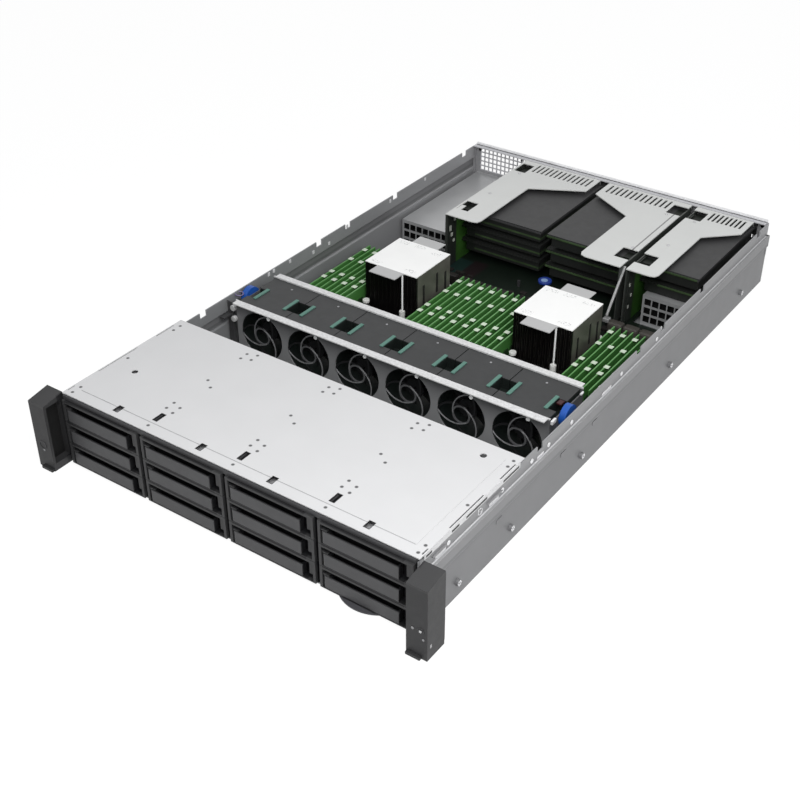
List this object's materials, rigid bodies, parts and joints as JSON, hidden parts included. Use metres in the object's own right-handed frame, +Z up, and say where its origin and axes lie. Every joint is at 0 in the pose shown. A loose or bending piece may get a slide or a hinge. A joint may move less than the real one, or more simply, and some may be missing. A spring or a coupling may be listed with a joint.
{
  "type": "rack server",
  "caption": "Two-unit rack server with open top, drive bays with pull levers, lift-out fans, memory, heatsinks, risers and power supplies.",
  "frame": {"origin": "centre of the bounding box's footprint, on the chassis underside", "axes": "+X to the viewer's right seen from the front, +Y from the drive bays to the rear, +Z up"},
  "size_m": [0.4826, 0.818, 0.0868],
  "materials": {
    "zinc_steel": "zinc-coated sheet steel, satin",
    "light_steel": "light grey coated sheet, satin",
    "dark_steel": "dark grey sheet, matt",
    "backplane_board": "green circuit board",
    "carrier_plastic": "dark grey moulded plastic",
    "lever_plastic": "dark grey moulded plastic",
    "fan_cage_steel": "zinc-coated sheet steel",
    "fan_plastic": "black moulded plastic",
    "impeller_plastic": "black moulded plastic",
    "blue_plastic": "blue moulded plastic",
    "supply_steel": "bare sheet steel",
    "handle_plastic": "dark grey moulded plastic, fine grain",
    "circuit_board": "green circuit board",
    "socket_plastic": "black moulded plastic",
    "memory_board": "green memory board",
    "fin_aluminium": "bare aluminium fins",
    "white_plastic": "white moulded plastic",
    "riser_board": "green circuit board",
    "card_plate": "dark grey plate, matt",
    "button_plastic": "grey moulded plastic",
    "tab_plastic": "dark grey moulded plastic"
  },
  "bodies": {
    "chassis": {"chassis_tray": "zinc_steel", "rear_panel": "zinc_steel", "drive_bay_lid": "light_steel", "drive_cage": "dark_steel", "drive_backplane": "backplane_board", "rack_handle_left": "handle_plastic", "rack_handle_right": "handle_plastic", "mainboard": "circuit_board", "memory_sockets": "socket_plastic", "memory_modules": "memory_board", "heatsinks": "fin_aluminium", "heatsink_covers": "white_plastic", "riser_covers": "light_steel", "riser_boards": "riser_board", "expansion_cards": "card_plate"},
    "carrier_1_1": {"drive_carrier_1_1": "carrier_plastic"},
    "lever_1_1": {"drive_lever_1_1": "lever_plastic"},
    "carrier_1_2": {"drive_carrier_1_2": "carrier_plastic"},
    "lever_1_2": {"drive_lever_1_2": "lever_plastic"},
    "carrier_1_3": {"drive_carrier_1_3": "carrier_plastic"},
    "lever_1_3": {"drive_lever_1_3": "lever_plastic"},
    "carrier_2_1": {"drive_carrier_2_1": "carrier_plastic"},
    "lever_2_1": {"drive_lever_2_1": "lever_plastic"},
    "carrier_2_2": {"drive_carrier_2_2": "carrier_plastic"},
    "lever_2_2": {"drive_lever_2_2": "lever_plastic"},
    "carrier_2_3": {"drive_carrier_2_3": "carrier_plastic"},
    "lever_2_3": {"drive_lever_2_3": "lever_plastic"},
    "carrier_3_1": {"drive_carrier_3_1": "carrier_plastic"},
    "lever_3_1": {"drive_lever_3_1": "lever_plastic"},
    "carrier_3_2": {"drive_carrier_3_2": "carrier_plastic"},
    "lever_3_2": {"drive_lever_3_2": "lever_plastic"},
    "carrier_3_3": {"drive_carrier_3_3": "carrier_plastic"},
    "lever_3_3": {"drive_lever_3_3": "lever_plastic"},
    "carrier_4_1": {"drive_carrier_4_1": "carrier_plastic"},
    "lever_4_1": {"drive_lever_4_1": "lever_plastic"},
    "carrier_4_2": {"drive_carrier_4_2": "carrier_plastic"},
    "lever_4_2": {"drive_lever_4_2": "lever_plastic"},
    "carrier_4_3": {"drive_carrier_4_3": "carrier_plastic"},
    "lever_4_3": {"drive_lever_4_3": "lever_plastic"},
    "fan_cage_module": {"fan_cage_front": "fan_cage_steel", "fan_cage_rear": "fan_cage_steel", "fan_cage_base": "fan_cage_steel"},
    "fan_module_1": {"fan_1": "fan_plastic"},
    "impeller_rotor_1": {"impeller_1": "impeller_plastic"},
    "fan_module_2": {"fan_2": "fan_plastic"},
    "impeller_rotor_2": {"impeller_2": "impeller_plastic"},
    "fan_module_3": {"fan_3": "fan_plastic"},
    "impeller_rotor_3": {"impeller_3": "impeller_plastic"},
    "fan_module_4": {"fan_4": "fan_plastic"},
    "impeller_rotor_4": {"impeller_4": "impeller_plastic"},
    "fan_module_5": {"fan_5": "fan_plastic"},
    "impeller_rotor_5": {"impeller_5": "impeller_plastic"},
    "fan_module_6": {"fan_6": "fan_plastic"},
    "impeller_rotor_6": {"impeller_6": "impeller_plastic"},
    "release_lever_left": {"cage_lever_left": "blue_plastic"},
    "supply_left": {"power_supply_left": "supply_steel"},
    "release_lever_right": {"cage_lever_right": "blue_plastic"},
    "supply_right": {"power_supply_right": "supply_steel"},
    "button": {"power_button": "button_plastic"},
    "tab": {"info_tab": "tab_plastic"}
  },
  "joints": [
    {"name": "carrier_1_1_slide", "type": "slide", "parent": "chassis", "child": "carrier_1_1", "axis": [0, -1, 0], "range_m": [0, 0.15]},
    {"name": "lever_1_1_hinge", "type": "hinge", "parent": "carrier_1_1", "child": "lever_1_1", "pos_m": [-0.2066, -0.383, 0.0117], "axis": [0, 0, -1], "range_deg": [0, 60]},
    {"name": "carrier_1_2_slide", "type": "slide", "parent": "chassis", "child": "carrier_1_2", "axis": [0, -1, 0], "range_m": [0, 0.15]},
    {"name": "lever_1_2_hinge", "type": "hinge", "parent": "carrier_1_2", "child": "lever_1_2", "pos_m": [-0.2066, -0.383, 0.0379], "axis": [0, 0, -1], "range_deg": [0, 60]},
    {"name": "carrier_1_3_slide", "type": "slide", "parent": "chassis", "child": "carrier_1_3", "axis": [0, -1, 0], "range_m": [0, 0.15]},
    {"name": "lever_1_3_hinge", "type": "hinge", "parent": "carrier_1_3", "child": "lever_1_3", "pos_m": [-0.2066, -0.383, 0.0641], "axis": [0, 0, -1], "range_deg": [0, 60]},
    {"name": "carrier_2_1_slide", "type": "slide", "parent": "chassis", "child": "carrier_2_1", "axis": [0, -1, 0], "range_m": [0, 0.15]},
    {"name": "lever_2_1_hinge", "type": "hinge", "parent": "carrier_2_1", "child": "lever_2_1", "pos_m": [-0.0986, -0.383, 0.0117], "axis": [0, 0, -1], "range_deg": [0, 60]},
    {"name": "carrier_2_2_slide", "type": "slide", "parent": "chassis", "child": "carrier_2_2", "axis": [0, -1, 0], "range_m": [0, 0.15]},
    {"name": "lever_2_2_hinge", "type": "hinge", "parent": "carrier_2_2", "child": "lever_2_2", "pos_m": [-0.0986, -0.383, 0.0379], "axis": [0, 0, -1], "range_deg": [0, 60]},
    {"name": "carrier_2_3_slide", "type": "slide", "parent": "chassis", "child": "carrier_2_3", "axis": [0, -1, 0], "range_m": [0, 0.15]},
    {"name": "lever_2_3_hinge", "type": "hinge", "parent": "carrier_2_3", "child": "lever_2_3", "pos_m": [-0.0986, -0.383, 0.0641], "axis": [0, 0, -1], "range_deg": [0, 60]},
    {"name": "carrier_3_1_slide", "type": "slide", "parent": "chassis", "child": "carrier_3_1", "axis": [0, -1, 0], "range_m": [0, 0.15]},
    {"name": "lever_3_1_hinge", "type": "hinge", "parent": "carrier_3_1", "child": "lever_3_1", "pos_m": [0.0094, -0.383, 0.0117], "axis": [0, 0, -1], "range_deg": [0, 60]},
    {"name": "carrier_3_2_slide", "type": "slide", "parent": "chassis", "child": "carrier_3_2", "axis": [0, -1, 0], "range_m": [0, 0.15]},
    {"name": "lever_3_2_hinge", "type": "hinge", "parent": "carrier_3_2", "child": "lever_3_2", "pos_m": [0.0094, -0.383, 0.0379], "axis": [0, 0, -1], "range_deg": [0, 60]},
    {"name": "carrier_3_3_slide", "type": "slide", "parent": "chassis", "child": "carrier_3_3", "axis": [0, -1, 0], "range_m": [0, 0.15]},
    {"name": "lever_3_3_hinge", "type": "hinge", "parent": "carrier_3_3", "child": "lever_3_3", "pos_m": [0.0094, -0.383, 0.0641], "axis": [0, 0, -1], "range_deg": [0, 60]},
    {"name": "carrier_4_1_slide", "type": "slide", "parent": "chassis", "child": "carrier_4_1", "axis": [0, -1, 0], "range_m": [0, 0.15]},
    {"name": "lever_4_1_hinge", "type": "hinge", "parent": "carrier_4_1", "child": "lever_4_1", "pos_m": [0.1174, -0.383, 0.0117], "axis": [0, 0, -1], "range_deg": [0, 60]},
    {"name": "carrier_4_2_slide", "type": "slide", "parent": "chassis", "child": "carrier_4_2", "axis": [0, -1, 0], "range_m": [0, 0.15]},
    {"name": "lever_4_2_hinge", "type": "hinge", "parent": "carrier_4_2", "child": "lever_4_2", "pos_m": [0.1174, -0.383, 0.0379], "axis": [0, 0, -1], "range_deg": [0, 60]},
    {"name": "carrier_4_3_slide", "type": "slide", "parent": "chassis", "child": "carrier_4_3", "axis": [0, -1, 0], "range_m": [0, 0.15]},
    {"name": "lever_4_3_hinge", "type": "hinge", "parent": "carrier_4_3", "child": "lever_4_3", "pos_m": [0.1174, -0.383, 0.0641], "axis": [0, 0, -1], "range_deg": [0, 60]},
    {"name": "fan_cage_lift", "type": "slide", "parent": "chassis", "child": "fan_cage_module", "axis": [0, 0, 1], "range_m": [0, 0.09]},
    {"name": "fan_1_lift", "type": "slide", "parent": "fan_cage_module", "child": "fan_module_1", "axis": [0, 0, 1], "range_m": [0, 0.08]},
    {"name": "impeller_1_spin", "type": "hinge", "parent": "fan_module_1", "child": "impeller_rotor_1", "pos_m": [-0.16675, -0.1075, 0.046], "axis": [0, 1, 0], "continuous": true},
    {"name": "fan_2_lift", "type": "slide", "parent": "fan_cage_module", "child": "fan_module_2", "axis": [0, 0, 1], "range_m": [0, 0.08]},
    {"name": "impeller_2_spin", "type": "hinge", "parent": "fan_module_2", "child": "impeller_rotor_2", "pos_m": [-0.10005, -0.1075, 0.046], "axis": [0, 1, 0], "continuous": true},
    {"name": "fan_3_lift", "type": "slide", "parent": "fan_cage_module", "child": "fan_module_3", "axis": [0, 0, 1], "range_m": [0, 0.08]},
    {"name": "impeller_3_spin", "type": "hinge", "parent": "fan_module_3", "child": "impeller_rotor_3", "pos_m": [-0.03335, -0.1075, 0.046], "axis": [0, 1, 0], "continuous": true},
    {"name": "fan_4_lift", "type": "slide", "parent": "fan_cage_module", "child": "fan_module_4", "axis": [0, 0, 1], "range_m": [0, 0.08]},
    {"name": "impeller_4_spin", "type": "hinge", "parent": "fan_module_4", "child": "impeller_rotor_4", "pos_m": [0.03335, -0.1075, 0.046], "axis": [0, 1, 0], "continuous": true},
    {"name": "fan_5_lift", "type": "slide", "parent": "fan_cage_module", "child": "fan_module_5", "axis": [0, 0, 1], "range_m": [0, 0.08]},
    {"name": "impeller_5_spin", "type": "hinge", "parent": "fan_module_5", "child": "impeller_rotor_5", "pos_m": [0.10005, -0.1075, 0.046], "axis": [0, 1, 0], "continuous": true},
    {"name": "fan_6_lift", "type": "slide", "parent": "fan_cage_module", "child": "fan_module_6", "axis": [0, 0, 1], "range_m": [0, 0.08]},
    {"name": "impeller_6_spin", "type": "hinge", "parent": "fan_module_6", "child": "impeller_rotor_6", "pos_m": [0.16675, -0.1075, 0.046], "axis": [0, 1, 0], "continuous": true},
    {"name": "release_lever_left_hinge", "type": "hinge", "parent": "fan_cage_module", "child": "release_lever_left", "pos_m": [-0.2061, -0.109, 0.058], "axis": [1, 0, 0], "range_deg": [0, 80]},
    {"name": "supply_left_slide", "type": "slide", "parent": "chassis", "child": "supply_left", "axis": [0, 1, 0], "range_m": [0, 0.15]},
    {"name": "release_lever_right_hinge", "type": "hinge", "parent": "fan_cage_module", "child": "release_lever_right", "pos_m": [0.2061, -0.109, 0.058], "axis": [1, 0, 0], "range_deg": [0, 80]},
    {"name": "supply_right_slide", "type": "slide", "parent": "chassis", "child": "supply_right", "axis": [0, 1, 0], "range_m": [0, 0.15]},
    {"name": "button_press", "type": "slide", "parent": "chassis", "child": "button", "axis": [0, 1, 0], "range_m": [0, 0.0012], "stiffness_N_per_m": 200, "springref_m": -0.001},
    {"name": "tab_slide", "type": "slide", "parent": "chassis", "child": "tab", "axis": [0, -1, 0], "range_m": [0, 0.06]}
  ]
}
